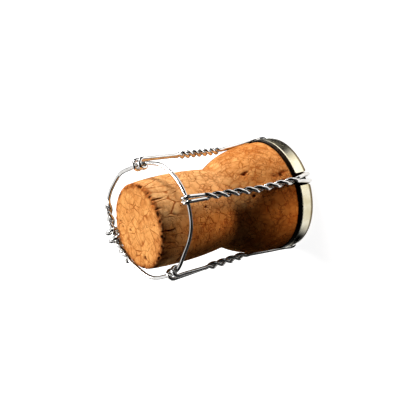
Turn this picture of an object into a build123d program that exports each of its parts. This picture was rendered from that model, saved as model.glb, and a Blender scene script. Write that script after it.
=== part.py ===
# A champagne cork standing on its head, in its pressed cap and its loosened wire cage.
# Z is the cork's axis, from the cap up to the small end. Angles are in degrees about Z from +X.
import math
import os

from build123d import *

# Cork
cork_length = 47.1
head_radius = 15.2
head_straight = 8.2
head_edge = 1.2
waist_height = 22.1
waist_radius = 10.9
belly_height = 37.8
belly_radius = 12.15
end_radius = 11.7
end_edge = 0.9
# Cap
sheet = 0.25
panel_slope = 1.0
panel_bend = 0.4
shoulder_stand = 0.23
shoulder_bend = 0.8
mouth_stand = 0.52
skirt_height = 3.65
lip_height = 0.8
lip_turn = 0.25
lip_bend = 0.5
notch_width = 3.6
notch_bend = 0.9
# Wire
wire_diameter = 1.06
wire_flat_count = 6
wire_gap = 0.06
turn_steps = 16
spread_steps = 5
side_steps = 4
least_turn_angle = 2.0
eye_steps = 6
bend_steps = 3
arc_steps = 8
ring_steps = 60
# Cage
leg_count = 4
leg_angle = 45.0
leg_slip_angles = (0.0, 0.0, -9.0, 0.0)
ring_cut_angle = 90.0
ring_cut_gap = 0.4
leg_stand = 0.55
rim_reach = 2.75
rim_bend_share = 0.43
rim_spread = 1.0
rim_spread_share = 0.07
ring_stand = 2.2
knee_height = 16.5
knee_shares = (1.013, 1.0, 0.967, 1.007)
twist_start_shares = (0.35, 0.1, 0.38, 0.07)
twist_turns = (3.5, 3.5, 2.0, 4.5)
spread_shares = (0.32, 0.25, 0.29, 0.13)
eye_slip_angles = (-12.0, 0.0, 18.0, 1.0)
eye_width = 2.4
eye_width_shares = (1.0, 1.0, 0.9, 0.55)
eye_wrap_angles = (200.0, 200.0, 200.0, 130.0)
eye_gap = 0.2
# Belt
belt_height = 44.2
belt_radius = 15.6
belt_offset = 1.4
belt_offset_angle = 55.0
belt_tilt_angle = 11.5
belt_rise_angle = 133.0
belt_lean_angle = 5.0
lap_start_angle = 104.0
lap_end_angle = 163.0
lap_turn_count = 2.5
lap_leg_index = 1
stub_reach = 1.5
stub_angle = 3.0
belt_wave_angles = (0, 20, 33, 46, 70, 100, 121, 143, 175, 205, 220, 234, 262, 295, 335)
belt_wave_shares = (
    0.016, -0.03, -0.05, -0.06, 0.008, 0.055, 0.0, -0.03, -0.032, 0.033, 0.022, 0.038, -0.04, 0.0, 0.022)

wire_radius = wire_diameter / 2
twist_radius = (wire_diameter + wire_gap) / 2
ledge_height = wire_diameter + 2 * wire_gap
cork_base = ledge_height + sheet + wire_gap
leg_radius = head_radius + leg_stand
ring_radius = leg_radius - rim_reach
bend_radius = rim_reach * rim_bend_share
panel_radius = ring_radius - ring_stand
shoulder_radius = head_radius + shoulder_stand
mouth_radius = head_radius + mouth_stand
ring_height = ledge_height - wire_gap - wire_radius


def polar(radius, angle, height):
    turn = math.radians(angle)
    return Vector(radius * math.cos(turn), radius * math.sin(turn), height)


def leg_turn(leg):
    # Angle at which a leg crosses the rim of the cap
    return leg_angle + leg * 360 / leg_count + leg_slip_angles[leg % leg_count]


def leg_foot(leg):
    # Where a leg starts, just past the rim of the cap
    return polar(leg_radius, leg_turn(leg), ring_height + bend_radius)


def leg_knee(leg):
    # Where a leg leaves the head
    return polar(head_radius * knee_shares[leg], leg_turn(leg), cork_base + knee_height)


def blend(share):
    # Eases from 0 to 1 with level ends
    return (1 - math.cos(math.pi * share)) / 2


def steps(count):
    # Even shares from 0 to 1
    return [number / count for number in range(count + 1)]


# Cork, a turned profile with a straight head, one shoulder arc and a barrel-shaped shaft
with BuildPart() as cork:
    with BuildSketch(Plane.XZ):
        with BuildLine():
            shoulder = (head_radius, cork_base + head_straight)
            waist = (waist_radius, cork_base + waist_height)
            belly = (belly_radius, cork_base + belly_height)
            rim = (end_radius, cork_base + cork_length)
            Polyline((0, rim[1]), (0, cork_base), (head_radius, cork_base), shoulder)
            TangentArc(shoulder, waist, tangent=(0, 1))
            ThreePointArc(waist, belly, rim)
            Line(rim, (0, rim[1]))
        make_face()
    revolve(axis=Axis.Z)
    fillet(cork.edges().filter_by(GeomType.CIRCLE).group_by(Axis.Z)[-1], end_edge)
    fillet(cork.edges().filter_by(GeomType.CIRCLE).group_by(Axis.Z)[0], head_edge)
    # The legs have pressed their grooves into the head
    for leg in range(leg_count):
        hold = leg_knee(leg) - leg_foot(leg)
        with Locations(Plane(origin=leg_foot(leg), z_dir=hold)):
            Cylinder(twist_radius + wire_radius + wire_gap, 2 * hold.length, mode=Mode.SUBTRACT)
cork.part.label = "cork"

# Cap, one pressed sheet: raised panel, ledge for the wire, skirt with a turned-in edge
mouth_height = ledge_height + skirt_height
with BuildPart() as cap:
    with BuildSketch(Plane.XZ):
        with BuildLine() as cap_line:
            FilletPolyline(
                (0, sheet / 2),
                (panel_radius, sheet / 2),
                (panel_radius + panel_slope, ledge_height + sheet / 2),
                (shoulder_radius - sheet / 2, ledge_height + sheet / 2),
                (mouth_radius - sheet / 2, mouth_height),
                (mouth_radius - sheet / 2 - lip_turn, mouth_height + lip_height),
                radius=[panel_bend, panel_bend, shoulder_bend, lip_bend],
            )
        trace(line_width=sheet)
    revolve(axis=Axis.Z)
    notch_base = ledge_height - sheet
    notch_height = mouth_height + 2 * lip_height - notch_base
    for leg in range(leg_count):
        angle = leg_turn(leg)
        notch_plane = Plane(
            origin=polar(ring_radius + wire_diameter, angle, notch_base + notch_height / 2),
            x_dir=polar(1, angle + 90, 0),
            z_dir=polar(1, angle, 0),
        )
        with BuildSketch(notch_plane):
            RectangleRounded(notch_width, notch_height, notch_bend)
        extrude(amount=mouth_radius, mode=Mode.SUBTRACT)
cap.part.label = "cap"

# Belt line: a tilted, slightly wavy loop whose two ends wind round each other in the lap
belt_centre = polar(belt_offset, belt_offset_angle, belt_height)


def belt_wave(angle):
    # Share of the belt's radius by which it stands out at this angle
    angle = angle % 360
    angles = belt_wave_angles + (belt_wave_angles[0] + 360,)
    shares = belt_wave_shares + (belt_wave_shares[0],)
    last = max(place for place in range(len(belt_wave_angles)) if angles[place] <= angle)
    part_way = (angle - angles[last]) / (angles[last + 1] - angles[last])
    return shares[last] + (shares[last + 1] - shares[last]) * blend(part_way)


def belt_point(angle):
    radius = belt_radius * (1 + belt_wave(angle))
    slope = math.tan(math.radians(belt_tilt_angle)) * math.cos(math.radians(angle - belt_rise_angle))
    return belt_centre + polar(radius, angle, radius * slope)


def belt_axes(angle):
    # A place on the belt, with the directions along the belt, out of it and over it
    along = (belt_point(angle + belt_lean_angle) - belt_point(angle - belt_lean_angle)).normalized()
    out = along.cross(Vector(0, 0, 1)).normalized()
    return belt_point(angle), along, out, out.cross(along)


def lap_point(share, side):
    # One of the two strands of the lap
    turn = 2 * math.pi * lap_turn_count * share
    middle, along, out, up = belt_axes(lap_start_angle + (lap_end_angle - lap_start_angle) * share)
    return middle + (out * math.cos(turn) + up * math.sin(turn)) * (side * twist_radius)


def stub_point():
    # The cut end of the lap, bent outwards
    middle, along, out, up = belt_axes(lap_end_angle + stub_angle)
    return middle + out * stub_reach


lap_steps = steps(round(turn_steps * lap_turn_count))
free_angle = 360 - (lap_end_angle - lap_start_angle)
belt_points = [lap_point(share, 1) for share in lap_steps]
belt_points += [belt_point(lap_end_angle + free_angle * share) for share in steps(ring_steps)[1:-1]]
belt_points += [lap_point(share, -1) for share in lap_steps[:-1]]
belt_points += [stub_point()]

# Cage line: arcs of the ring on the cap, joined by four hairpin legs with hooked eyes
bend_offset = rim_spread + bend_radius
bend_angle = math.degrees(math.asin(bend_offset / ring_radius))


def leg_line(leg, share):
    # The middle of a leg: up the side of the head, then straight to the outside of the belt
    foot = leg_foot(leg)
    knee = leg_knee(leg)
    middle, along, out, up = eye_axes(leg)
    top = middle + out * eye_radius(leg)
    knee_share = (knee - foot).length / ((knee - foot).length + (top - knee).length)
    if share < knee_share:
        return foot + (knee - foot) * (share / knee_share)
    return knee + (top - knee) * ((share - knee_share) / (1 - knee_share))


def eye_radius(leg):
    # A hook takes the single belt wire, or both strands where it holds the lap
    held = twist_radius if leg == lap_leg_index else 0
    return held + wire_diameter + eye_gap


def eye_reach(leg):
    # Half the width of a hook, between the middles of its strands
    return eye_width * eye_width_shares[leg] / 2


def eye_axes(leg):
    # Where a hook holds the belt
    return belt_axes(leg_turn(leg) + eye_slip_angles[leg])


def strand(leg, side):
    # One strand from the rim to the eye: beside the other, wound round it, then spreading again
    start = twist_start_shares[leg]
    end = 1 - spread_shares[leg]
    twist_steps = steps(round(turn_steps * twist_turns[leg]))
    places = [start * share for share in steps(side_steps)[:-1] if start > 0]
    places += [start + (end - start) * share for share in twist_steps]
    places += [end + spread_shares[leg] * share for share in steps(spread_steps)[1:]]
    hook_along = eye_axes(leg)[1]
    line = []
    for place in places:
        middle = leg_line(leg, place)
        about = math.degrees(math.atan2(middle.Y, middle.X))
        wound = min(max((place - start) / (end - start), 0), 1)
        turn = 2 * math.pi * twist_turns[leg] * (wound - 1)
        opened = blend(max(place - end, 0) / spread_shares[leg])
        parted = 1 - blend(min(place / rim_spread_share, 1))
        reach = twist_radius + (eye_reach(leg) - twist_radius) * opened + (rim_spread - twist_radius) * parted
        across = polar(1, about + 90, 0) * ((1 - opened) * math.cos(turn)) + hook_along * opened
        inward = polar(1, about + 180, 0) * math.sin(turn)
        line.append(middle + (across + inward) * (side * reach))
    return line


def eye(leg, side):
    # Square round the belt: over it, down inside it, round the hairpin's bend and back
    middle, along, out, up = eye_axes(leg)
    wrap = math.radians(eye_wrap_angles[leg])
    turns = [wrap * share for share in steps(eye_steps)]
    over = [(out * math.cos(turn) + up * math.sin(turn)) * eye_radius(leg) for turn in turns]
    across = along * (side * eye_reach(leg))
    tongue = (up * math.cos(wrap) - out * math.sin(wrap)) * eye_reach(leg)
    half_turns = [math.pi * share for share in steps(eye_steps)]
    hook_in = [middle + across + place for place in over[1:]]
    bend = [middle + over[-1] + across * math.cos(turn) + tongue * math.sin(turn) for turn in half_turns]
    hook_out = [middle - across + place for place in reversed(over[1:])]
    return hook_in + bend[1:-1] + hook_out


def rim_bend(leg, side):
    # From the ring outwards over the rim of the cap and into the leg
    out = polar(1, leg_turn(leg), 0)
    across = polar(side, leg_turn(leg) + 90, 0)
    ring_end = ring_radius * math.cos(math.radians(bend_angle))
    quarter_turns = [math.pi / 2 * share for share in steps(bend_steps)]
    line = []
    for turn in quarter_turns:
        run = ring_end + bend_radius * (1 - math.cos(turn))
        offset = bend_offset - bend_radius * math.sin(turn)
        line.append(out * run + across * offset + Vector(0, 0, ring_height))
    for turn in quarter_turns[:-1]:
        run = leg_radius - bend_radius * (1 - math.sin(turn))
        height = ring_height + bend_radius * (1 - math.cos(turn))
        line.append(out * run + across * rim_spread + Vector(0, 0, height))
    return line


def ring_arc(start, end):
    angles = [start + (end - start) * share for share in steps(arc_steps)]
    return [polar(ring_radius, angle, ring_height) for angle in angles]


cut_angle = math.degrees(ring_cut_gap / 2 / ring_radius)
cage_points = ring_arc(ring_cut_angle + cut_angle, leg_turn(1) - bend_angle)[:-1]
for leg in range(1, leg_count + 1):
    here = leg % leg_count
    # Whole turns bring a strand back to its own side of the leg, half turns to the other
    side = -round(math.cos(2 * math.pi * twist_turns[here]))
    cage_points += rim_bend(here, -1)
    cage_points += strand(here, side)
    cage_points += eye(here, side)
    cage_points += list(reversed(strand(here, -side)))[1:]
    cage_points += list(reversed(rim_bend(here, 1)))
    arc_end = leg_turn(leg + 1) - bend_angle
    if here == 0:
        arc_end = ring_cut_angle + 360 - cut_angle
    cage_points += ring_arc(leg_turn(leg) + bend_angle, arc_end)[1:]
    if here != 0:
        cage_points.pop()


def turns_of(points):
    # The line without the points at which it hardly turns
    kept = [points[0]]
    for here, after in zip(points[1:], points[2:]):
        if (here - kept[-1]).get_angle(after - here) > least_turn_angle:
            kept.append(here)
    return kept + [points[-1]]


def wire_along(points):
    # A wire of many flats along short straight runs
    with BuildPart() as wire:
        with BuildLine() as line:
            Polyline(*turns_of(points))
        with BuildSketch(Plane(origin=line.line @ 0, z_dir=line.line % 0)):
            RegularPolygon(wire_radius, wire_flat_count)
        sweep(transition=Transition.RIGHT)
    return wire


belt_wire = wire_along(belt_points)
belt_wire.part.label = "belt_wire"
cage_wire = wire_along(cage_points)
cage_wire.part.label = "cage_wire"

os.makedirs("parts", exist_ok=True)
export_step(cork.part, "parts/cork.step")
export_step(cap.part, "parts/cap.step")
export_step(cage_wire.part, "parts/cage_wire.step")
export_step(belt_wire.part, "parts/belt_wire.step")
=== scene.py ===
# A champagne cork standing on its head, in its cap and loosened wire cage, with Z up along the cork.
# Pieces are worked out in millimetres and put into the scene in metres.
import math

import bpy
import numpy as np
from mathutils import Matrix


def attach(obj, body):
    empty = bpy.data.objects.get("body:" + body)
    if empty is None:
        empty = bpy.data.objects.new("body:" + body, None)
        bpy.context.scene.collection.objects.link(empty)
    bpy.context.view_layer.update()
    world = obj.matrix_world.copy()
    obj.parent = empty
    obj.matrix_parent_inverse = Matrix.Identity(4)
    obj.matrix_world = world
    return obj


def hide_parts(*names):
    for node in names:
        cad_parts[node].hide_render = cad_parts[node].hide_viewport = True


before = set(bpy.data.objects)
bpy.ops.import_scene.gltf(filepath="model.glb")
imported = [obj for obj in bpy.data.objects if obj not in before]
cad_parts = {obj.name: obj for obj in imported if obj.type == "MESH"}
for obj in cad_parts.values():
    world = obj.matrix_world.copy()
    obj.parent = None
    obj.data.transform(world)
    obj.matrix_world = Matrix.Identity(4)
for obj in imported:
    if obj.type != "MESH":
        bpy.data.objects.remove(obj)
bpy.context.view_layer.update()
mm = 0.001
print("frame loaded:", sorted(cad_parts))


def meshFromArrays(name, points, quads, triangles=None):
    # points is (n, 3) in millimetres, quads (m, 4), triangles (k, 3)
    mesh = bpy.data.meshes.new(name)
    faces = [quads.reshape(-1)]
    sizes = [np.full(len(quads), 4)]
    if triangles is not None:
        faces.append(triangles.reshape(-1))
        sizes.append(np.full(len(triangles), 3))
    corners = np.concatenate(faces)
    lengths = np.concatenate(sizes)
    mesh.vertices.add(len(points))
    mesh.vertices.foreach_set("co", (points * mm).astype(np.float32).reshape(-1))
    mesh.loops.add(len(corners))
    mesh.loops.foreach_set("vertex_index", corners.astype(np.int32))
    mesh.polygons.add(len(lengths))
    mesh.polygons.foreach_set("loop_start", np.concatenate([[0], np.cumsum(lengths)[:-1]]).astype(np.int32))
    mesh.polygons.foreach_set("use_smooth", np.ones(len(lengths), dtype=bool))
    mesh.update(calc_edges=True)
    mesh.validate()
    piece = bpy.data.objects.new(name, mesh)
    bpy.context.collection.objects.link(piece)
    return piece


def addValues(piece, name, values):
    # One number for each point, which a finish reads by its name
    layer = piece.data.attributes.new(name, "FLOAT", "POINT")
    layer.data.foreach_set("value", np.asarray(values, dtype=np.float32).reshape(-1))


def gridQuads(rows, columns):
    # Faces of a grid that is open along its rows and closed round its columns
    row, column = np.meshgrid(np.arange(rows - 1), np.arange(columns), indexing="ij")
    beside = (column + 1) % columns
    corners = [row * columns + column, row * columns + beside,
               (row + 1) * columns + beside, (row + 1) * columns + column]
    return np.stack(corners, axis=-1)


def fan(centre, ring, outward):
    # Triangles that close a ring of points to one centre point
    following = np.roll(ring, -1)
    middle = np.full(len(ring), centre)
    order = [middle, ring, following] if outward else [middle, following, ring]
    return np.stack(order, axis=-1)


def ease(share):
    # Rises from 0 to 1 with level ends, half a cosine wave
    return (1 - np.cos(np.pi * np.clip(share, 0, 1))) / 2


def polar(radius, degrees, height):
    # Points at a radius, an angle and a height round the axis
    radius, turn, height = np.broadcast_arrays(radius, np.radians(degrees), np.asarray(height, dtype=float))
    return np.stack([radius * np.cos(turn), radius * np.sin(turn), height], axis=-1)


def latticeNoise(seed, across, along):
    # Smooth noise from -1 to 1: random values on a square lattice, eased between the four neighbours
    cells = 512
    values = np.random.default_rng(seed).uniform(-1, 1, (cells, cells))
    left, low = np.floor(across).astype(int), np.floor(along).astype(int)
    acrossShare, alongShare = ease(across - left), ease(along - low)

    def rowValues(row):
        here, beside = values[row % cells, left % cells], values[row % cells, (left + 1) % cells]
        return here * (1 - acrossShare) + beside * acrossShare

    return rowValues(low) * (1 - alongShare) + rowValues(low + 1) * alongShare


def unit(vectors):
    # The same directions, each one long
    return vectors / np.linalg.norm(vectors, axis=-1, keepdims=True)


# Wires
wire = {"diameter": 1.06, "gap": 0.06, "sides": 14, "spacing": 0.24, "cutShare": 0.75}
twistRadius = (wire["diameter"] + wire["gap"]) / 2
belt = {
    "height": 44.2, "radius": 15.6, "offset": 1.4, "offsetAngle": 55, "tiltAngle": 11.5, "riseAngle": 133,
    "leanAngle": 5, "lapStart": 104, "lapEnd": 163, "lapTurns": 2.5, "lapLeg": 1,
    "stubReach": 1.5, "stubAngle": 3, "lapSteps": 41, "freeSteps": 61,
    "waveAngles": (0, 20, 33, 46, 70, 100, 121, 143, 175, 205, 220, 234, 262, 295, 335, 360),
    "waveShares": (0.016, -0.03, -0.05, -0.06, 0.008, 0.055, 0, -0.03, -0.032, 0.033, 0.022, 0.038,
                   -0.04, 0, 0.022, 0.016),
}
cage = {
    "legAngle": 45, "legSlips": (0, 0, -9, 0), "ringRadius": 13.0, "ringHeight": 0.59,
    "cutAngle": 90, "cutGap": 0.4, "bendRadius": 1.1825, "legRadius": 15.75,
    "rimSpread": 1.0, "rimSpreadShare": 0.07,
    "kneeHeight": 17.99, "kneeShares": (1.013, 1.0, 0.967, 1.007), "twistStarts": (0.35, 0.1, 0.38, 0.07),
    "twistTurns": (3.5, 3.5, 2.0, 4.5), "spreadShares": (0.32, 0.25, 0.29, 0.13), "eyeSlips": (-12, 0, 18, 1),
    "eyeWidth": 2.4, "eyeShares": (1.0, 1.0, 0.9, 0.55), "eyeWraps": (200, 200, 200, 130), "eyeGap": 0.2,
    "ringSteps": 14, "bendSteps": 6, "rimSteps": 8, "turnSteps": 16, "spreadSteps": 9, "wrapSteps": 13,
    "hairpinSteps": 11,
}
bendOffset = cage["rimSpread"] + cage["bendRadius"]
bendAngle = math.degrees(math.asin(bendOffset / cage["ringRadius"]))
beltCentre = polar(belt["offset"], belt["offsetAngle"], belt["height"])


def smoothLine(points, spacing):
    # A curve through the points: cubic pieces whose slopes are the chords past each point, then even steps
    chords = np.linalg.norm(np.diff(points, axis=0), axis=1)
    knots = np.concatenate([[0], np.cumsum(chords)])
    slopes = np.gradient(points, knots, axis=0)
    place = np.linspace(0, knots[-1], int(knots[-1] / spacing) + 1)
    piece = np.clip(np.searchsorted(knots, place, side="right") - 1, 0, len(chords) - 1)
    share = ((place - knots[piece]) / chords[piece])[:, None]
    span = chords[piece][:, None]
    startPart = ((1 + 2 * share) * (1 - share) ** 2 * points[piece]
                 + share * (1 - share) ** 2 * span * slopes[piece])
    endPart = (share ** 2 * (3 - 2 * share) * points[piece + 1]
               + share ** 2 * (share - 1) * span * slopes[piece + 1])
    return startPart + endPart


def makeWire(name, points):
    # A circle carried along the line, each turned by the least amount from the one before,
    # and narrowed at the cut ends
    line = smoothLine(points, wire["spacing"])
    along = np.gradient(line, axis=0)
    along /= np.linalg.norm(along, axis=1, keepdims=True)
    side = np.empty_like(line)
    side[0] = np.cross(along[0], (0.3, 0.5, 0.8))  # any direction across the wire will do
    side[0] /= np.linalg.norm(side[0])
    for step in range(1, len(line)):
        side[step] = side[step - 1] - along[step] * (side[step - 1] @ along[step])
        side[step] /= np.linalg.norm(side[step])
    other = np.cross(along, side)
    turn = np.arange(wire["sides"]) * 2 * np.pi / wire["sides"]
    circle = side[:, None] * np.cos(turn)[None, :, None] + other[:, None] * np.sin(turn)[None, :, None]
    radius = np.full(len(line), wire["diameter"] / 2)
    radius[[0, -1]] *= wire["cutShare"]
    tube = (line[:, None] + circle * radius[:, None, None]).reshape(-1, 3)
    rows, columns = len(line), wire["sides"]
    ends = np.concatenate([fan(rows * columns, np.arange(columns), False),
                           fan(rows * columns + 1, (rows - 1) * columns + np.arange(columns), True)])
    quads = gridQuads(rows, columns).reshape(-1, 4)
    return meshFromArrays(name, np.concatenate([tube, line[[0, -1]]]), quads, ends)


def beltPoint(angle):
    # A tilted, slightly wavy loop: its radius swells and shrinks by the wave shares between the wave angles
    angle = np.asarray(angle, dtype=float)
    around = angle % 360
    knots, shares = np.array(belt["waveAngles"]), np.array(belt["waveShares"])
    last = np.clip(np.searchsorted(knots, around, side="right") - 1, 0, len(knots) - 2)
    partWay = ease((around - knots[last]) / (knots[last + 1] - knots[last]))
    radius = belt["radius"] * (1 + shares[last] + (shares[last + 1] - shares[last]) * partWay)
    slope = np.tan(np.radians(belt["tiltAngle"])) * np.cos(np.radians(angle - belt["riseAngle"]))
    return beltCentre + polar(radius, angle, radius * slope)


def beltAxes(angle):
    # Places on the belt, with the directions along it, out of it and over it
    along = unit(beltPoint(angle + belt["leanAngle"]) - beltPoint(angle - belt["leanAngle"]))
    out = unit(np.cross(along, (0, 0, 1)))
    return beltPoint(angle), along, out, np.cross(out, along)


def lapPoints(share, side):
    # One of the two strands that wind round each other where the belt is closed
    turn = (2 * np.pi * belt["lapTurns"] * share)[:, None]
    middle, along, out, up = beltAxes(belt["lapStart"] + (belt["lapEnd"] - belt["lapStart"]) * share)
    return middle + (out * np.cos(turn) + up * np.sin(turn)) * side * twistRadius


def beltLine():
    # One strand of the lap, the free loop, the lap's other strand, then a cut end that points outwards
    share = np.linspace(0, 1, belt["lapSteps"])
    freeSpan = 360 - (belt["lapEnd"] - belt["lapStart"])
    free = beltPoint(belt["lapEnd"] + freeSpan * np.linspace(0, 1, belt["freeSteps"])[1:-1])
    middle, _, out, _ = beltAxes(belt["lapEnd"] + belt["stubAngle"])
    stub = middle + out * belt["stubReach"]
    return np.concatenate([lapPoints(share, 1), free, lapPoints(share[:-1], -1), stub[None]])


def legTurn(leg):
    # The angle of a leg round the axis: a quarter turn each, with its own slip
    return cage["legAngle"] + leg * 90 + cage["legSlips"][leg % 4]


def eyeRadius(leg):
    # A hook takes the single belt wire, or both strands where it holds the lap
    return wire["diameter"] + cage["eyeGap"] + (twistRadius if leg == belt["lapLeg"] else 0)


def eyeReach(leg):
    # Half the width of a hook
    return cage["eyeWidth"] * cage["eyeShares"][leg] / 2


def legFoot(leg):
    # Where a leg comes over the rim of the cap
    return polar(cage["legRadius"], legTurn(leg), cage["ringHeight"] + cage["bendRadius"])


def legKnee(leg):
    # Where a leg leaves the head of the cork
    return polar(cork["headRadius"] * cage["kneeShares"][leg], legTurn(leg), cage["kneeHeight"])


def legMiddle(leg, share):
    # Up the side of the head to the knee, then straight to the outside of the belt
    middle, _, out, _ = beltAxes(legTurn(leg) + cage["eyeSlips"][leg])
    foot, knee, top = legFoot(leg), legKnee(leg), middle + out * eyeRadius(leg)
    lower, upper = np.linalg.norm(knee - foot), np.linalg.norm(top - knee)
    kneeShare = lower / (lower + upper)
    low = foot + (knee - foot) * (share / kneeShare)[:, None]
    high = knee + (top - knee) * ((share - kneeShare) / (1 - kneeShare))[:, None]
    return np.where((share < kneeShare)[:, None], low, high)


def strand(leg, side):
    # One strand from the rim to the eye: beside the other, wound round it, then spreading again
    start, spread, turns = cage["twistStarts"][leg], cage["spreadShares"][leg], cage["twistTurns"][leg]
    end = 1 - spread
    share = np.concatenate([np.linspace(0, start, cage["rimSteps"])[:-1],
                            np.linspace(start, end, round(cage["turnSteps"] * turns) + 1),
                            np.linspace(end, 1, cage["spreadSteps"])[1:]])
    middle = legMiddle(leg, share)
    about = np.degrees(np.arctan2(middle[:, 1], middle[:, 0]))
    turn = (2 * np.pi * turns * (np.clip((share - start) / (end - start), 0, 1) - 1))[:, None]
    opened = ease((share - end) / spread)[:, None]
    parted = 1 - ease(share / cage["rimSpreadShare"])[:, None]
    reach = twistRadius + (eyeReach(leg) - twistRadius) * opened + (cage["rimSpread"] - twistRadius) * parted
    hookAlong = beltAxes(legTurn(leg) + cage["eyeSlips"][leg])[1]
    across = polar(1, about + 90, 0) * np.cos(turn) * (1 - opened) + hookAlong * opened
    inward = polar(1, about + 180, 0) * np.sin(turn)
    return middle + (across + inward) * side * reach


def eye(leg, side):
    # Square round the belt: over it, down inside it, round the hairpin's bend and back
    middle, along, out, up = beltAxes(legTurn(leg) + cage["eyeSlips"][leg])
    wrap = math.radians(cage["eyeWraps"][leg])
    turn = np.linspace(0, wrap, cage["wrapSteps"])[:, None]
    over = (out * np.cos(turn) + up * np.sin(turn)) * eyeRadius(leg)
    across = along * side * eyeReach(leg)
    tongue = (up * math.cos(wrap) - out * math.sin(wrap)) * eyeReach(leg)
    half = np.linspace(0, np.pi, cage["hairpinSteps"])[:, None]
    bend = middle + over[-1] + across * np.cos(half) + tongue * np.sin(half)
    return np.concatenate([middle + across + over[1:], bend[1:-1], (middle - across + over[1:])[::-1]])


def rimBend(leg, side):
    # From the ring outwards over the rim of the cap and into the leg, two quarter circles
    out, across = polar(1, legTurn(leg), 0), polar(side, legTurn(leg) + 90, 0)
    ringEnd = cage["ringRadius"] * math.cos(math.radians(bendAngle))
    turn = np.linspace(0, np.pi / 2, cage["bendSteps"])[:, None]
    level, up, bend = np.array([0, 0, cage["ringHeight"]]), np.array([0, 0, 1.0]), cage["bendRadius"]
    first = out * (ringEnd + bend * (1 - np.cos(turn))) + across * (bendOffset - bend * np.sin(turn)) + level
    second = (out * (cage["legRadius"] - bend * (1 - np.sin(turn))) + across * cage["rimSpread"]
              + level + up * bend * (1 - np.cos(turn)))
    return np.concatenate([first, second[:-1]])


def ringArc(start, end):
    # Part of the ring that lies on the cap
    return polar(cage["ringRadius"], np.linspace(start, end, cage["ringSteps"]), cage["ringHeight"])


def cageLine():
    # One wire: ring, then for each leg out over the rim, up one strand, round the hook and down the other
    cut = math.degrees(cage["cutGap"] / 2 / cage["ringRadius"])
    line = [ringArc(cage["cutAngle"] + cut, legTurn(1) - bendAngle)[:-1]]
    for leg in (1, 2, 3, 4):
        here = leg % 4
        side = -round(math.cos(2 * math.pi * cage["twistTurns"][here]))
        line += [rimBend(here, -1), strand(here, side), eye(here, side), strand(here, -side)[::-1][1:],
                 rimBend(here, 1)[::-1]]
        end = cage["cutAngle"] + 360 - cut if here == 0 else legTurn(leg + 1) - bendAngle
        arc = ringArc(legTurn(leg) + bendAngle, end)[1:]
        line.append(arc if here == 0 else arc[:-1])
    return np.concatenate(line)


# Cork
cork = {
    "base": 1.49, "length": 47.1, "headRadius": 15.2, "headStraight": 8.2, "headEdge": 1.2,
    "waistHeight": 22.1, "waistRadius": 10.9, "waistSoftness": 0.3, "bellyHeight": 37.8, "bellyRadius": 12.15,
    "endRadius": 11.7, "endEdge": 0.9, "grooveRadius": 1.15,
    "columns": 540, "sideRows": 120, "endRows": 40, "edgeRows": 7, "baseMiddle": 6, "endMiddle": 0.25,
    # Relief: depths, the size of each noise, and how dark each mark is. Each noise has its own seed below
    "swell": 0.07, "swellSize": 5.2, "grain": 0.05, "grainSize": 0.9, "unrollRadius": 12, "endShift": 40,
    "chipDepth": 0.7, "chipBand": 1.0, "chipCounts": (5, 17), "chipShares": (0.8, 0.6), "chipDark": 1.5,
    "rimDark": 0.45, "crumbSize": 0.8, "crumbReach": 2.2, "crumbMiddle": 0.5, "crumbSpread": 0.9,
    "crumbDark": 0.38,
    "pitRagged": 0.6, "pitNoise": (30, 2.4), "endPitRagged": 0.3, "endPitNoise": 2, "pitDark": 1.2,
    "slitWander": 0.25, "slitWave": 1.3, "slitRow": 0.37, "slitOpens": 2.5, "slitCloses": 1.2,
    "slitDark": 1.1,
    # Pits: angle round the cork, height above its base, width, depth
    "pits": ((-21.5, 17.5, 1.1, 0.8), (-35, 10.2, 0.8, 0.3), (-34.7, 8.2, 1.3, 0.35), (-33.5, 6.6, 0.9, 0.3),
             (-48.3, 32.3, 0.6, 0.35), (-50.3, 17.5, 0.8, 0.45), (70, 26, 0.9, 0.5), (110, 12, 1.1, 0.6),
             (150, 33, 0.8, 0.5), (190, 9, 1.0, 0.6), (235, 36, 0.7, 0.5), (200, 27, 0.9, 0.5)),
    # Slits along the shaft: angle, lowest and highest place, width, depth
    "slits": ((-66.5, 42.2, 46.9, 0.42, 0.4), (-84, 42.2, 46.2, 0.34, 0.3), (2, 42.2, 43.6, 0.5, 0.4),
              (-22, 42.6, 46.9, 0.36, 0.3), (-36, 44.8, 47, 0.45, 0.4), (95, 41, 46, 0.4, 0.35),
              (165, 42, 46.5, 0.4, 0.35), (222, 41, 46.2, 0.45, 0.4), (250, 43, 46.6, 0.3, 0.3)),
    # Pits of the end face: X, Y, width, depth
    "endPits": ((-3.0, 3.25, 0.7, 0.6), (-7.0, -5.0, 0.95, 0.85), (-3.1, 8.4, 0.5, 0.4),
                (-4.0, 6.8, 0.6, 0.45), (9.8, -4.7, 0.9, 0.7), (4.6, -7.2, 0.5, 0.35),
                (-8.6, -1.0, 0.45, 0.35), (2.2, -4.0, 0.4, 0.25)),
}
corkTop = cork["base"] + cork["length"]


def arcRadii(first, middle, last, heights):
    # Radius at each height of the circle through three points that bulges outwards
    first, middle, last = (np.array(point, dtype=float) for point in (first, middle, last))
    sides = 2 * np.array([middle - first, last - first])
    squares = np.array([middle @ middle - first @ first, last @ last - first @ first])
    centre = np.linalg.solve(sides, squares)
    return centre[0] + np.sqrt(np.maximum(((first - centre) ** 2).sum() - (heights - centre[1]) ** 2, 0))


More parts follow.
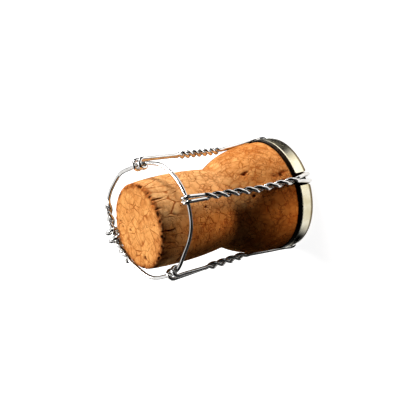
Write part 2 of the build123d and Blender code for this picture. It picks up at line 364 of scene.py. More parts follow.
def sideRadii(heights):
    # Straight head, then the larger of shoulder arc and barrel arc, with the corner between them softened
    head, drop = cork["headRadius"], cork["headRadius"] - cork["waistRadius"]
    rise = cork["waistHeight"] - cork["headStraight"]
    shoulderRadius = (drop ** 2 + rise ** 2) / (2 * drop)
    climb = np.clip(heights - cork["base"] - cork["headStraight"], 0, shoulderRadius)
    shoulder = head - shoulderRadius + np.sqrt(shoulderRadius ** 2 - climb ** 2)
    barrel = arcRadii((cork["waistRadius"], cork["base"] + cork["waistHeight"]),
                      (cork["bellyRadius"], cork["base"] + cork["bellyHeight"]),
                      (cork["endRadius"], corkTop), heights)
    barrel = np.where(heights < cork["base"] + cork["headStraight"], 0, barrel)
    soft = np.where(heights < cork["base"] + cork["headStraight"], 0, cork["waistSoftness"])
    return (shoulder + barrel + np.sqrt((shoulder - barrel) ** 2 + soft ** 2)) / 2


def corkProfile():
    # Radius and height of each row: rounded base edge, side, rounded rim, flat end to near its middle
    quarter = np.linspace(0, np.pi / 2, cork["edgeRows"])
    edge, rimEdge = cork["headEdge"], cork["endEdge"]
    baseEdge = np.stack([cork["headRadius"] - edge + edge * np.sin(quarter),
                         cork["base"] + edge - edge * np.cos(quarter)], axis=-1)
    heights = np.linspace(cork["base"] + edge, corkTop - rimEdge, cork["sideRows"])
    side = np.stack([sideRadii(heights), heights], axis=-1)
    rim = side[-1, 0]
    rimRound = np.stack([rim - rimEdge + rimEdge * np.cos(quarter),
                         corkTop - rimEdge + rimEdge * np.sin(quarter)], axis=-1)
    endFlat = np.stack([np.linspace(rim - rimEdge, cork["endMiddle"], cork["endRows"]),
                        np.full(cork["endRows"], corkTop)], axis=-1)
    baseFlat = [[cork["baseMiddle"], cork["base"]]]
    return np.concatenate([baseFlat, baseEdge, side[1:], rimRound[1:], endFlat[1:]])


def sameSide(turn, angle):
    # True on the half of the cork that looks towards the angle
    return np.cos(turn - math.radians(angle)) > 0


def grooveRadii(radius, turn, height):
    # The radius at which each leg's round groove meets the head, or the head's own radius
    cut = radius.copy()
    for leg in range(4):
        foot, knee = legFoot(leg), legKnee(leg)
        share = (height - foot[2]) / (knee[2] - foot[2])
        footOut, kneeOut = np.hypot(*foot[:2]), np.hypot(*knee[:2])
        lineOut = footOut + (kneeOut - footOut) * share
        aside = radius * np.sin(turn - math.radians(legTurn(leg)))
        near = sameSide(turn, legTurn(leg)) & (np.abs(aside) < cork["grooveRadius"])
        depth = np.sqrt(np.maximum(cork["grooveRadius"] ** 2 - aside ** 2, 0))
        cut = np.where(near, np.minimum(cut, lineOut - depth), cut)
    return cut


def makeCork():
    # The profile turned round the axis, then each point pushed in along the profile's normal
    # by the depth that swelling, grain, chips, pits and slits have there
    profile = corkProfile()
    rows, columns = len(profile), cork["columns"]
    turn = np.repeat(np.arange(columns)[None] * 2 * np.pi / columns, rows, axis=0)
    radius = np.repeat(profile[:, :1], columns, axis=1)
    height = np.repeat(profile[:, 1:], columns, axis=1)
    slope = np.gradient(profile, axis=0)
    slope /= np.linalg.norm(slope, axis=1, keepdims=True)
    outward, upward = slope[:, 1:], -slope[:, :1]
    onEnd = height > corkTop - 0.01  # the rows of the flat end
    # Gentle swelling and grain, sampled on the plane of the end or on the unrolled side
    x, y = radius * np.cos(turn), radius * np.sin(turn)
    over = np.where(onEnd, x + cork["endShift"], turn * cork["unrollRadius"])
    along = np.where(onEnd, y + cork["endShift"], height)
    depth = -cork["swell"] * (1 + latticeNoise(3, over / cork["swellSize"], along / cork["swellSize"])) / 2
    depth -= cork["grain"] * (1 + latticeNoise(4, over / cork["grainSize"], along / cork["grainSize"])) / 2
    dark = np.zeros_like(depth)
    # Chips out of the rim, deeper where two noises meet, and a crumbled dark band along it
    rimRow = cork["sideRows"] + cork["edgeRows"] - 1
    rimPlace = np.hypot(radius - profile[rimRow, 0], height - corkTop) / cork["chipBand"]
    band = np.exp(-rimPlace ** 2)
    (few, many), (fewShare, manyShare) = cork["chipCounts"], cork["chipShares"]
    chip = np.clip(latticeNoise(5, turn * few, rimPlace) * fewShare
                   + latticeNoise(6, turn * many, rimPlace * 2) * manyShare, 0, 1)
    depth -= cork["chipDepth"] * band * chip
    crumbs = latticeNoise(10, over / cork["crumbSize"], along / cork["crumbSize"])
    crumbled = np.clip(cork["crumbMiddle"] + cork["crumbSpread"] * crumbs, 0, 1)
    dark += band * (cork["rimDark"] + cork["chipDark"] * chip)
    dark += cork["crumbDark"] * np.exp(-(rimPlace / cork["crumbReach"]) ** 2) * crumbled
    # Pits are bells whose edge a noise makes ragged
    roundNoise, alongNoise = cork["pitNoise"]
    ragged = 1 + cork["pitRagged"] * latticeNoise(7, turn * roundNoise, height * alongNoise)
    for angle, rise, width, deep in cork["pits"]:
        aside = radius * np.sin(turn - math.radians(angle))
        away = np.hypot(aside, height - cork["base"] - rise) / (width / 2)
        pit = np.where(sameSide(turn, angle) & ~onEnd, np.exp(-(away * ragged) ** 2), 0)
        depth -= deep * pit
        dark += cork["pitDark"] * pit
    # Slits are long bells that wander, each by a row of the noise of its own
    rise = height - cork["base"]
    for angle, low, high, width, deep in cork["slits"]:
        row = np.full_like(height, angle * cork["slitRow"])
        wander = cork["slitWander"] * latticeNoise(8, height / cork["slitWave"] + angle, row)
        aside = radius * np.sin(turn - math.radians(angle)) + wander
        opened = ease((rise - low) / cork["slitOpens"])
        closed = ease((high + cork["slitCloses"] / 2 - rise) / cork["slitCloses"])
        bell = np.exp(-(aside / (width / 2)) ** 2) * (opened * closed)
        slit = np.where(sameSide(turn, angle) & ~onEnd, bell, 0)
        depth -= deep * slit
        dark += cork["slitDark"] * slit
    nearEnd = height > corkTop - 1  # the flat end and its rounded rim
    ragged = 1 + cork["endPitRagged"] * latticeNoise(9, x * cork["endPitNoise"], y * cork["endPitNoise"])
    for placeX, placeY, width, deep in cork["endPits"]:
        away = np.hypot(x - placeX, y - placeY) / (width / 2)
        pit = np.where(nearEnd, np.exp(-(away * ragged) ** 2), 0)
        depth -= deep * pit
        dark += cork["pitDark"] * pit
    outRadius = grooveRadii(radius + outward * depth, turn, height)
    points = np.stack([outRadius * np.cos(turn), outRadius * np.sin(turn), height + upward * depth], axis=-1)
    centres = np.array([[0, 0, profile[0, 1]], [0, 0, points[-1, :, 2].mean()]])
    first, last = rows * columns, rows * columns + 1
    ends = np.concatenate([fan(first, np.arange(columns), False),
                           fan(last, (rows - 1) * columns + np.arange(columns), True)])
    flat = np.concatenate([points.reshape(-1, 3), centres])
    piece = meshFromArrays("corkBody", flat, gridQuads(rows, columns).reshape(-1, 4), ends)
    addValues(piece, "dark", np.concatenate([np.clip(dark, 0, 1).reshape(-1), [0, 0]]))
    return piece


# Cap
cap = {
    "sheet": 0.25, "panelRadius": 10.8, "panelSlope": 1.0, "ledge": 1.18, "shoulderRadius": 15.43,
    "mouthRadius": 15.72, "skirtHeight": 3.65, "lipHeight": 1.2, "lipTurn": 0.25,
    "bends": (0.4, 0.4, 0.3, 0.5),
    "notchWidth": 3.6, "notchRadius": 14.06, "tabCorner": 0.9, "shoulderShare": 0.6, "lipShare": 0.4,
    "middleRadius": 2.0, "bendRows": 7, "skirtRows": 9, "rowGap": 0.05, "tabColumns": 64, "notchColumns": 6,
    "edgeBevel": 0.05, "edgeAngle": 50,
}


def roundedLine(corners, bends):
    # A line of straight runs whose inner corners are circle arcs of the given radii
    line = [corners[0]]
    for before, corner, after, bend in zip(corners, corners[1:], corners[2:], bends):
        back, ahead = unit(before - corner), unit(after - corner)
        half = math.acos(np.clip(back @ ahead, -1, 1)) / 2
        centre = corner + unit(back + ahead) * bend / math.sin(half)
        start, end = corner + back * bend / math.tan(half), corner + ahead * bend / math.tan(half)
        share = np.linspace(0, 1, cap["bendRows"])[:, None]
        line += list(centre + unit((start - centre) * (1 - share) + (end - centre) * share) * bend)
    return np.array(line + [corners[-1]])


def makeCap():
    # The sheet's middle line turned round the axis; past the notch's inner end only the four tabs go on
    half, mouth = cap["sheet"] / 2, cap["ledge"] + cap["skirtHeight"]
    corners = np.array([
        (cap["middleRadius"], half), (cap["panelRadius"], half),
        (cap["panelRadius"] + cap["panelSlope"], cap["ledge"] + half),
        (cap["shoulderRadius"] - half, cap["ledge"] + half), (cap["mouthRadius"] - half, mouth),
        (cap["mouthRadius"] - half - cap["lipTurn"], mouth + cap["lipHeight"])])
    line = roundedLine(corners, cap["bends"])
    inside = line[:, 0] < cap["notchRadius"] - cap["rowGap"]
    inner = line[inside & (line[:, 1] < cap["ledge"] + cap["sheet"])]
    outer = line[len(inner):]
    # The skirt is the longest straight run, and gets rows of its own
    skirtShare = np.linspace(0, 1, cap["skirtRows"])[1:-1, None]
    long = np.argmax(np.linalg.norm(np.diff(outer, axis=0), axis=1))
    skirt = outer[long] + (outer[long + 1] - outer[long]) * skirtShare
    outer = np.concatenate([outer[:long + 1], skirt, outer[long + 1:]])
    start = np.array([[cap["notchRadius"], cap["ledge"] + half]])
    profile = np.concatenate([inner, start, outer])
    rows, firstTabRow = len(profile), len(inner)
    radius, height = profile[:, :1], profile[:, 1:]
    # Half the notch's width at each row: wider where the tabs' corners are rounded,
    # at the shoulder and at the lip
    corner = cap["tabCorner"]
    fromShoulder = np.clip((height - cap["ledge"]) / corner, 0, 1)
    fromLip = np.clip((height.max() - height) / corner, 0, 1)
    width = cap["notchWidth"] / 2 + corner * (1 - np.sqrt(1 - (1 - fromShoulder) ** 2)) * cap["shoulderShare"]
    width = width + corner * (1 - np.sqrt(1 - (1 - fromLip) ** 2)) * cap["lipShare"]
    halfNotch = np.degrees(np.arcsin(np.clip(width / np.maximum(radius, cap["notchRadius"]), 0, 1)))
    halfNotch[:firstTabRow] = halfNotch[firstTabRow]
    across = np.linspace(-1, 1, cap["notchColumns"] + 1)[None]
    tab = np.linspace(0, 1, cap["tabColumns"] + 1)[None, 1:-1]
    angles = []
    for leg in range(4):
        begin, end = legTurn(leg) + halfNotch, legTurn(leg + 1) - halfNotch
        angles += [legTurn(leg) + halfNotch * across, begin + (end - begin) * tab]
    angle = np.concatenate(angles, axis=1)
    columns = angle.shape[1]
    points = polar(radius, angle, height).reshape(-1, 3)
    isNotch = (np.arange(columns) % (cap["notchColumns"] + cap["tabColumns"])) < cap["notchColumns"]
    quads = gridQuads(rows, columns)
    quads = np.concatenate([quads[:firstTabRow].reshape(-1, 4), quads[firstTabRow:, ~isNotch].reshape(-1, 4)])
    used, packed = np.unique(quads, return_inverse=True)
    quads = packed.reshape(-1, 4)
    centre = len(used)
    middle = fan(centre, np.arange(columns), False)
    piece = meshFromArrays("capSheet", np.concatenate([points[used], [[0, 0, half]]]), quads, middle)
    thick = piece.modifiers.new("sheet", "SOLIDIFY")
    thick.thickness, thick.offset, thick.use_even_offset = cap["sheet"] * mm, 0, True
    soft = piece.modifiers.new("edges", "BEVEL")
    soft.width, soft.segments = cap["edgeBevel"] * mm, 2
    soft.limit_method, soft.angle_limit = "ANGLE", math.radians(cap["edgeAngle"])
    return piece


# Finishes
def newFinish(name, roughness, metallic):
    # A material with its node tree and its shader
    material = bpy.data.materials.new(name)
    material.use_nodes = True
    shader = material.node_tree.nodes["Principled BSDF"]
    shader.inputs["Roughness"].default_value = roughness
    shader.inputs["Metallic"].default_value = metallic
    return material, material.node_tree, shader


def feed(tree, target, value):
    # Links an output to the input, or sets the input to a constant
    if hasattr(value, "is_linked"):
        tree.links.new(value, target)
    else:
        target.default_value = value


def addNode(tree, kind, **settings):
    # Makes a node; settings that name an input feed that input, others set the node itself
    node = tree.nodes.new(kind)
    for name, value in settings.items():
        if name in node.inputs.keys():
            feed(tree, node.inputs[name], value)
        else:
            setattr(node, name, value)
    return node


def noiseNode(tree, place, scale, detail, **settings):
    noise = addNode(tree, "ShaderNodeTexNoise", Vector=place, Scale=scale, Detail=detail, **settings)
    return noise.outputs["Fac"]


def edgeNode(tree, place, scale):
    # Distance to the nearest edge between cells
    cells = addNode(tree, "ShaderNodeTexVoronoi", feature="DISTANCE_TO_EDGE", Vector=place, Scale=scale)
    return cells.outputs["Distance"]


def mathNode(tree, operation, first, second=0.0, clamp=False):
    node = tree.nodes.new("ShaderNodeMath")
    node.operation, node.use_clamp = operation, clamp
    for target, value in zip(node.inputs, (first, second)):
        feed(tree, target, value)
    return node.outputs[0]


def rangeNode(tree, value, low, high, toLow, toHigh):
    # Turns low..high into toLow..toHigh with eased ends
    node = tree.nodes.new("ShaderNodeMapRange")
    node.interpolation_type = "SMOOTHSTEP"
    tree.links.new(value, node.inputs["Value"])
    for name, number in (("From Min", low), ("From Max", high), ("To Min", toLow), ("To Max", toHigh)):
        node.inputs[name].default_value = number
    return node.outputs["Result"]


def mixNode(tree, share, first, second, blend="MIX"):
    node = tree.nodes.new("ShaderNodeMix")
    node.data_type, node.blend_type = "RGBA", blend
    for target, value in ((node.inputs[0], share), (node.inputs[6], first), (node.inputs[7], second)):
        feed(tree, target, value)
    return node.outputs[2]


corkLook = {
    "pale": (0.82, 0.395, 0.124, 1), "tan": (0.57, 0.20, 0.045, 1), "seam": (0.36, 0.09, 0.016, 1),
    # The second colour on the next line is painted shade: the near black of the foot under the cap
    "pit": (0.07, 0.019, 0.004, 1), "paintedCapShade": (0.006, 0.002, 0.0008, 1), "disc": (0.99, 0.565, 0.232, 1),
    "endTint": (0.98, 0.80, 0.60, 1), "roughness": 0.78, "bump": 0.5, "bumpDepth": 0.0004,
    "cellShare": 0.46, "shaftPaler": 0.75, "discPaler": 0.2, "mottleRelief": 0.8, "seamRelief": 0.5,
    # Cells and noises: how many to the metre
    "granule": 440, "grit": 860, "block": 300, "blockStretch": 0.36,
    "patchy": 330, "mottle": 560, "broken": 250, "broad": 75, "speck": 820,
    # Warps: noise to the metre, and how far it pushes
    "broadWarp": (240, 0.0016), "fineWarp": (800, 0.0011), "blockWarp": (500, 0.0006),
    # Heights at which the painted shade under the cap ends, and the shaft and its last centimetre begin
    "paintedShadeTop": 6.4 * mm, "shaftStart": 17 * mm, "shaftFull": 29 * mm,
    "blockStart": 37.5 * mm, "blockFull": 41.5 * mm,
}


def warpedPlace(tree, place, scale, amount):
    # The place pushed about by noise, so that nothing drawn on it has straight edges
    noise = addNode(tree, "ShaderNodeTexNoise", Vector=place, Scale=scale, Detail=2.0).outputs["Color"]
    centred = addNode(tree, "ShaderNodeVectorMath", operation="SUBTRACT")
    tree.links.new(noise, centred.inputs[0])
    centred.inputs[1].default_value = (0.5, 0.5, 0.5)
    shift = addNode(tree, "ShaderNodeVectorMath", operation="SCALE", Scale=amount)
    tree.links.new(centred.outputs[0], shift.inputs[0])
    moved = addNode(tree, "ShaderNodeVectorMath", operation="ADD")
    tree.links.new(place, moved.inputs[0])
    tree.links.new(shift.outputs[0], moved.inputs[1])
    return moved.outputs[0]


def makeCorkFinish():
    # Granules of many tones with seams between them, a foot painted near black as the shade under the cap, a
    # paler shaft and a deeper end face
    material, tree, shader = newFinish("agglomeratedCork", corkLook["roughness"], 0)
    shader.inputs["Specular IOR Level"].default_value = 0  # dry cork has no sheen
    place = addNode(tree, "ShaderNodeTexCoord").outputs["Object"]
    height = addNode(tree, "ShaderNodeSeparateXYZ", Vector=place).outputs["Z"]
    warped = warpedPlace(tree, warpedPlace(tree, place, *corkLook["broadWarp"]), *corkLook["fineWarp"])
    long = addNode(tree, "ShaderNodeVectorMath", operation="MULTIPLY")
    tree.links.new(warpedPlace(tree, place, *corkLook["blockWarp"]), long.inputs[0])
    long.inputs[1].default_value = (1, 1, corkLook["blockStretch"])
    cell = addNode(tree, "ShaderNodeTexVoronoi", Vector=warped, Scale=corkLook["granule"])
    edge = edgeNode(tree, warped, corkLook["granule"])
    gritEdge = edgeNode(tree, warped, corkLook["grit"])
    blockEdge = edgeNode(tree, long.outputs[0], corkLook["block"])
    patchy = noiseNode(tree, place, corkLook["patchy"], 4.0)
    mottle = noiseNode(tree, place, corkLook["mottle"], 6.0, Roughness=0.62)
    broken = noiseNode(tree, place, corkLook["broken"], 5.0)
    broad = noiseNode(tree, place, corkLook["broad"], 2.0)
    speck = noiseNode(tree, place, corkLook["speck"], 2.0)
    # Tone: each granule's own value, paler in its middle, with mottling inside it and broad patches
    cellTone = addNode(tree, "ShaderNodeSeparateColor", Color=cell.outputs["Color"]).outputs[0]
    tone = mathNode(tree, "MULTIPLY", cellTone, corkLook["cellShare"])
    tone = mathNode(tree, "ADD", tone, rangeNode(tree, edge, 0.0, 0.3, 0.0, 0.3))
    onShaft = rangeNode(tree, height, corkLook["shaftStart"], corkLook["shaftFull"], 0.0, 1.0)
    blotch = mathNode(tree, "MULTIPLY", rangeNode(tree, mottle, 0.3, 0.7, -0.35, 0.45),
                      rangeNode(tree, onShaft, 0.0, 1.0, 1.0, 0.6))
    tone = mathNode(tree, "ADD", tone, blotch)
    tone = mathNode(tree, "ADD", tone, rangeNode(tree, broad, 0.35, 0.65, -0.1, 0.2), clamp=True)
    colour = mixNode(tree, tone, corkLook["tan"], corkLook["pale"])
    # The shaft is paler than the head, most of all its last centimetre of whole cork with longer blocks
    nearEnd = rangeNode(tree, height, corkLook["blockStart"], corkLook["blockFull"], 0.0, 1.0)
    paler = mathNode(tree, "ADD", mathNode(tree, "MULTIPLY", onShaft, corkLook["shaftPaler"]),
                     mathNode(tree, "MULTIPLY", nearEnd, corkLook["discPaler"]))
    paler = mathNode(tree, "MULTIPLY", paler, rangeNode(tree, tone, 0.0, 1.0, 0.4, 1.0))
    colour = mixNode(tree, paler, colour, corkLook["disc"])
    # Seams between granules, strong in some places and gone in others
    seam = rangeNode(tree, edge, 0.01, 0.07, 1.0, 0.0)
    seam = mathNode(tree, "MULTIPLY", seam, rangeNode(tree, patchy, 0.40, 0.60, 0.04, 0.8))
    grit = rangeNode(tree, gritEdge, 0.0, 0.13, 1.0, 0.0)
    grit = mathNode(tree, "MULTIPLY", grit, rangeNode(tree, broken, 0.4, 0.6, 0.0, 0.8))
    seam = mathNode(tree, "MAXIMUM", seam, grit)
    blockSeam = rangeNode(tree, blockEdge, 0.01, 0.055, 1.0, 0.0)
    blockSeam = mathNode(tree, "MULTIPLY", blockSeam, rangeNode(tree, patchy, 0.42, 0.62, 0.95, 0.3))
    seam = mathNode(tree, "MULTIPLY", seam, rangeNode(tree, nearEnd, 0.0, 1.0, 1.0, 0.55))
    lines = mathNode(tree, "MAXIMUM", seam, mathNode(tree, "MULTIPLY", blockSeam, nearEnd))
    # The end face is a deeper orange with fainter seams
    onEnd = rangeNode(tree, height, (corkTop - 0.6) * mm, (corkTop - 0.1) * mm, 0.0, 1.0)
    lines = mathNode(tree, "MULTIPLY", lines, rangeNode(tree, onEnd, 0.0, 1.0, 1.0, 0.9))
    colour = mixNode(tree, lines, colour, corkLook["seam"])
    colour = mixNode(tree, onEnd, colour, mixNode(tree, 1.0, colour, corkLook["endTint"], "MULTIPLY"))
    # Specks, pits and chips, and painted shade on the foot under the cap
    dark = addNode(tree, "ShaderNodeAttribute", attribute_name="dark").outputs["Fac"]
    dark = mathNode(tree, "MULTIPLY", dark, rangeNode(tree, mottle, 0.36, 0.58, 0.4, 1.0))
    dark = mathNode(tree, "MAXIMUM", dark, rangeNode(tree, speck, 0.68, 0.77, 0.0, 0.75))
    colour = mixNode(tree, rangeNode(tree, dark, 0.0, 0.45, 0.0, 0.85), colour, corkLook["seam"])
    colour = mixNode(tree, rangeNode(tree, dark, 0.4, 0.9, 0.0, 1.0), colour, corkLook["pit"])
    # Painted shade: the foot under the cap, seen past the lip and in the notches, is coloured near black
    paintedShadeTop = corkLook["paintedShadeTop"]
    paintedCapShade = rangeNode(tree, height, paintedShadeTop - 0.3 * mm, paintedShadeTop + 0.2 * mm, 1.0, 0.0)
    colour = mixNode(tree, paintedCapShade, colour, corkLook["paintedCapShade"])
    tree.links.new(colour, shader.inputs["Base Color"])
    # Mottling stands out and seams lie lower
    relief = mathNode(tree, "SUBTRACT", mathNode(tree, "MULTIPLY", mottle, corkLook["mottleRelief"]),
                      mathNode(tree, "MULTIPLY", lines, corkLook["seamRelief"]))
    bump = addNode(tree, "ShaderNodeBump", Height=relief, Strength=corkLook["bump"],
                   Distance=corkLook["bumpDepth"])
    tree.links.new(bump.outputs["Normal"], shader.inputs["Normal"])
    return material


wireLook = {
    "bright": (0.76, 0.75, 0.73, 1), "dull": (0.48, 0.44, 0.39, 1), "patches": 350, "roughness": (0.06, 0.14),
}


def makeWireFinish():
    # Bright metal with duller, rougher patches
    material, tree, shader = newFinish("brightWire", wireLook["roughness"][1], 1)
    place = addNode(tree, "ShaderNodeTexCoord").outputs["Object"]
    dull = noiseNode(tree, place, wireLook["patches"], 4.0)
    colour = mixNode(tree, rangeNode(tree, dull, 0.42, 0.7, 0.0, 0.7), wireLook["bright"], wireLook["dull"])
    tree.links.new(colour, shader.inputs["Base Color"])
    tree.links.new(rangeNode(tree, dull, 0.35, 0.7, *wireLook["roughness"]), shader.inputs["Roughness"])
    return material


capLook = {
    # The lip and edge colours are painted shade, for the turned-in lip and the shoulder's bend
    "metal": (0.93, 0.88, 0.71, 1), "shade": (0.72, 0.63, 0.40, 1), "paintedLipShade": (0.012, 0.007, 0.004, 1),
    "edge": (0.16, 0.115, 0.055, 1), "streak": 260, "broad": 55, "roughness": (0.2, 0.36),
    "bendShadeStart": 0.7, "bendShadeEnd": 1.15, "lipShadeStart": 0.2, "lipShadeFull": 0.36,
}


def makeCapFinish():
    # Pale gold with darker worn streaks, and painted shade on the shoulder's bend and the turned-in lip
    material, tree, shader = newFinish("lacqueredTinplate", capLook["roughness"][0], 1)
    place = addNode(tree, "ShaderNodeTexCoord").outputs["Object"]
    height = addNode(tree, "ShaderNodeSeparateXYZ", Vector=place).outputs["Z"]
    streak = noiseNode(tree, place, capLook["streak"], 4.0)
    broad = noiseNode(tree, place, capLook["broad"], 2.0)
    worn = mathNode(tree, "ADD", rangeNode(tree, streak, 0.35, 0.7, -0.15, 0.45),
                    rangeNode(tree, broad, 0.4, 0.62, 0.0, 0.5), clamp=True)
    colour = mixNode(tree, worn, capLook["metal"], capLook["shade"])
    # Painted shade: dark brown along the shoulder's bend, and near black on the turned-in lip for the shaded
    # gap under it
    ledge, mouth = cap["ledge"] * mm, (cap["ledge"] + cap["skirtHeight"]) * mm
    paintedBendShade = rangeNode(tree, height, ledge + capLook["bendShadeStart"] * mm,
                       ledge + capLook["bendShadeEnd"] * mm, 0.96, 0.0)
    colour = mixNode(tree, paintedBendShade, colour, capLook["edge"])
    paintedLipShade = rangeNode(tree, height, mouth + capLook["lipShadeStart"] * mm, mouth + capLook["lipShadeFull"] * mm, 0.0, 1.0)
    colour = mixNode(tree, paintedLipShade, colour, capLook["paintedLipShade"])
    tree.links.new(colour, shader.inputs["Base Color"])
    tree.links.new(rangeNode(tree, streak, 0.3, 0.7, *capLook["roughness"]), shader.inputs["Roughness"])
    return material


# Pieces
corkBody = makeCork()
capSheet = makeCap()
beltLoop = makeWire("beltLoop", beltLine())
cageFrame = makeWire("cageFrame", cageLine())
wireFinish = makeWireFinish()
for piece, node, slot, finish in (
        (corkBody, "cork", "cork", makeCorkFinish()), (capSheet, "cap", "cap_metal", makeCapFinish()),
        (beltLoop, "belt_wire", "wire", wireFinish), (cageFrame, "cage_wire", "wire", wireFinish)):
    piece.data.materials.append(finish)
    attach(piece, "root")
    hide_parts(node)
    print(piece.name, len(piece.data.polygons), "faces")

# Camera, at the photograph's place: rolled so that the standing cork lies across the picture
shot = {
    "place": (209.4, -272.8, 244.2), "right": (0.127, -0.560, -0.819), "back": (0.514, -0.6685, 0.537),
    "focalPixels": 1486, "imagePixels": 420,
}
back = unit(np.array(shot["back"]))
up = unit(np.cross(back, shot["right"]))
right = np.cross(up, back)
cameraData = bpy.data.cameras.new("camera")
cameraData.angle = 2 * math.atan(shot["imagePixels"] / 2 / shot["focalPixels"])
cameraData.clip_start = 0.01
camera = bpy.data.objects.new("camera", cameraData)
bpy.context.collection.objects.link(camera)


def placed(right, up, back, place):
    # A transform from three axes and a place
    turned = np.eye(4)
    turned[:3, :3] = np.stack([right, up, back], axis=1)
    turned[:3, 3] = place
    return Matrix(turned.tolist())


camera.matrix_world = placed(right, up, back, np.array(shot["place"]) * mm)
bpy.context.scene.camera = camera

# Studio: a white floor, two white lamps, three weak warm ones low in front, and dark cards and patches
# that only mirrors and bounced light see
studio = {
    "floorReach": 4000, "floorColour": (0.5, 0.5, 0.5, 1), "floorBounce": (0.8, 0.48, 0.26, 1),
    "floorWhite": 0.94, "ambient": 0.01, "ambientColour": (1, 0.6, 0.35, 1), "middle": (0, 0, 0.025),
    # Lamps: direction in the picture, distance and width in metres, power
    "lamps": (("topLamp", (-0.26, 0.955, 0.12), 0.5, 0.24, 3.65),
              ("sideLamp", (-0.97, 0.06, 0.22), 0.5, 0.2, 2.7)),
    # Bounces: place and aim in millimetres, cone in degrees, power
    "bounces": (("headBounce", (4, -23, 1.2), (3, -10, 22), 140, 0.0032),
                ("shaftBounce", (6, -20.5, 1), (3.5, -11.5, 46), 28, 0.045),
                ("frontBounce", (17, -13.5, 1), (9.3, -7.2, 46), 30, 0.032)),
    "bounceColour": (1, 0.6, 0.29), "bounceSize": 0.003,
    # Cards: direction in the picture, distance and width in metres
    "cards": (("lowCard", (0.0, -0.78, 0.62), 0.34, 0.6), ("topCard", (-0.1, 0.85, -0.5), 0.3, 0.3),
              ("cameraCard", (0.0, 0.1, 1.0), 0.3, 0.42)),
    "cardColour": (0.01, 0.01, 0.01, 1),
    # Patches: inner and outer radius, first and last angle, share that fades, rise, thickness
    "patches": (("lowNear", 15.9, 26, 195, 262, 0.4, 0, 1), ("lowFar", 26, 900, 182, 330, 0.1, 150, 0.97),
                ("topNear", 15.9, 24, -25, 80, 0.3, 0, 1), ("topFar", 24, 900, 42, 186, 0.1, 120, 0.95),
                ("sideFar", 68, 900, -40, 75, 0.12, 170, 1)),
    "patchHeight": 0.2, "patchSteps": 33,
}


def pointed(direction, place):
    # A transform at the place, with its own Z along the direction
    side = unit(np.cross((0.1, 0.2, 0.97), direction))
    return placed(side, np.cross(direction, side), direction, place)


def facing(direction, distance):
    # A place that far from the part, with its own Z pointing away from it. The direction is given as right,
    # up and towards the camera in the picture
    outward = unit(right * direction[0] + up * direction[1] + back * direction[2])
    return pointed(outward, outward * distance + np.array(studio["middle"]))


def makeSquare(name, half):
    # A level square round the origin
    corners = half * np.array([(-1, -1, 0), (1, -1, 0), (1, 1, 0), (-1, 1, 0)], dtype=float)
    return meshFromArrays(name, corners, np.array([[0, 1, 2, 3]]))


def seenWhite(tree):
    # 1 where the ray comes from the camera, a mirror or glass
    path = addNode(tree, "ShaderNodeLightPath")
    seen = mathNode(tree, "MAXIMUM", path.outputs["Is Camera Ray"], path.outputs["Is Glossy Ray"])
    return mathNode(tree, "MAXIMUM", seen, path.outputs["Is Transmission Ray"])


def makeFloor():
    # White to the camera and to mirrors, warm to bounced light, and it keeps the part's shadow
    floor = makeSquare("floor", studio["floorReach"])
    material, tree, shader = newFinish("paleFloor", 0.9, 0)
    shader.inputs["Specular IOR Level"].default_value = 0
    seen = seenWhite(tree)
    colour = mixNode(tree, seen, studio["floorBounce"], studio["floorColour"])
    tree.links.new(colour, shader.inputs["Base Color"])
    glow = addNode(tree, "ShaderNodeEmission", Color=(1, 1, 1, 1))
    tree.links.new(mathNode(tree, "MULTIPLY", seen, studio["floorWhite"]), glow.inputs["Strength"])
    both = addNode(tree, "ShaderNodeAddShader")
    tree.links.new(shader.outputs[0], both.inputs[0])
    tree.links.new(glow.outputs[0], both.inputs[1])
    tree.links.new(both.outputs[0], tree.nodes["Material Output"].inputs["Surface"])
    floor.data.materials.append(material)


def darken(card):
    # Black, only in mirrors and bounced light, and as thick as its fade says
    card.visible_camera = False
    card.visible_shadow = False
    material, tree, shader = newFinish("blackCard", 1.0, 0)
    shader.inputs["Base Color"].default_value = studio["cardColour"]
    shader.inputs["Specular IOR Level"].default_value = 0
    fade = addNode(tree, "ShaderNodeAttribute", attribute_name="fade").outputs["Fac"]
    tree.links.new(fade, shader.inputs["Alpha"])
    card.data.materials.append(material)


def makeCard(name, direction, distance, size):
    card = makeSquare(name, size / 2 / mm)
    card.matrix_world = facing(direction, distance)
    addValues(card, "fade", np.ones(4))
    darken(card)


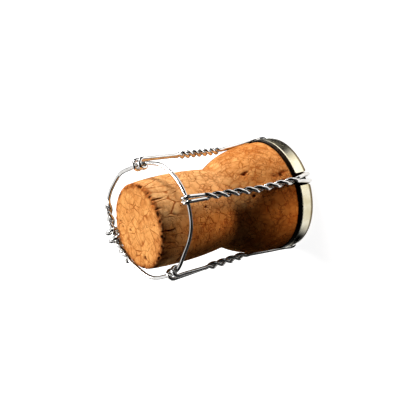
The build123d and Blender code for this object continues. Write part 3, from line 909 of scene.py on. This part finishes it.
def makePatch(name, inner, outer, start, end, fadeShare, rise, thickness):
    # A sector of a ring just over the floor, rising outwards, and fading out towards its two ends
    share = np.linspace(0, 1, studio["patchSteps"])
    angles = start + (end - start) * share
    edges = ((inner, studio["patchHeight"]), (outer, studio["patchHeight"] + rise))
    points = np.concatenate([polar(reach, angles, height) for reach, height in edges])
    step = np.arange(len(angles) - 1)
    quads = np.stack([step, step + len(angles), step + len(angles) + 1, step + 1], axis=-1)
    patch = meshFromArrays(name, points, quads)
    fade = thickness * ease(np.minimum(share, 1 - share) / fadeShare)
    addValues(patch, "fade", np.tile(fade, 2))
    darken(patch)


def makeLamp(name, direction, distance, size, power):
    lampData = bpy.data.lights.new(name, "AREA")
    lampData.shape, lampData.size, lampData.energy = "DISK", size, power
    lamp = bpy.data.objects.new(name, lampData)
    bpy.context.collection.objects.link(lamp)
    lamp.matrix_world = facing(direction, distance)


def makeBounce(name, place, aim, cone, power):
    # A weak warm lamp low in front, as a pale table would throw light back
    lampData = bpy.data.lights.new(name, "SPOT")
    lampData.energy, lampData.color = power, studio["bounceColour"]
    lampData.spot_size, lampData.spot_blend = math.radians(cone), 1
    lampData.shadow_soft_size = studio["bounceSize"]
    lamp = bpy.data.objects.new(name, lampData)
    bpy.context.collection.objects.link(lamp)
    away = unit(np.array(place, dtype=float) - np.array(aim))
    lamp.matrix_world = pointed(away, np.array(place) * mm)
    lamp.visible_camera = False
    lamp.visible_glossy = False


makeFloor()
for bounce in studio["bounces"]:
    makeBounce(*bounce)
for card in studio["cards"]:
    makeCard(*card)
for patch in studio["patches"]:
    makePatch(*patch)
for lamp in studio["lamps"]:
    makeLamp(*lamp)
world = bpy.data.worlds.new("studio")
bpy.context.scene.world = world
world.use_nodes = True
tree = world.node_tree
light, seen = tree.nodes["Background"], seenWhite(tree)
tree.links.new(mixNode(tree, seen, studio["ambientColour"], (1, 1, 1, 1)), light.inputs["Color"])
tree.links.new(rangeNode(tree, seen, 0.0, 1.0, studio["ambient"], 1.0), light.inputs["Strength"])
bpy.context.scene.view_settings.view_transform = "Standard"
print("studio ready")
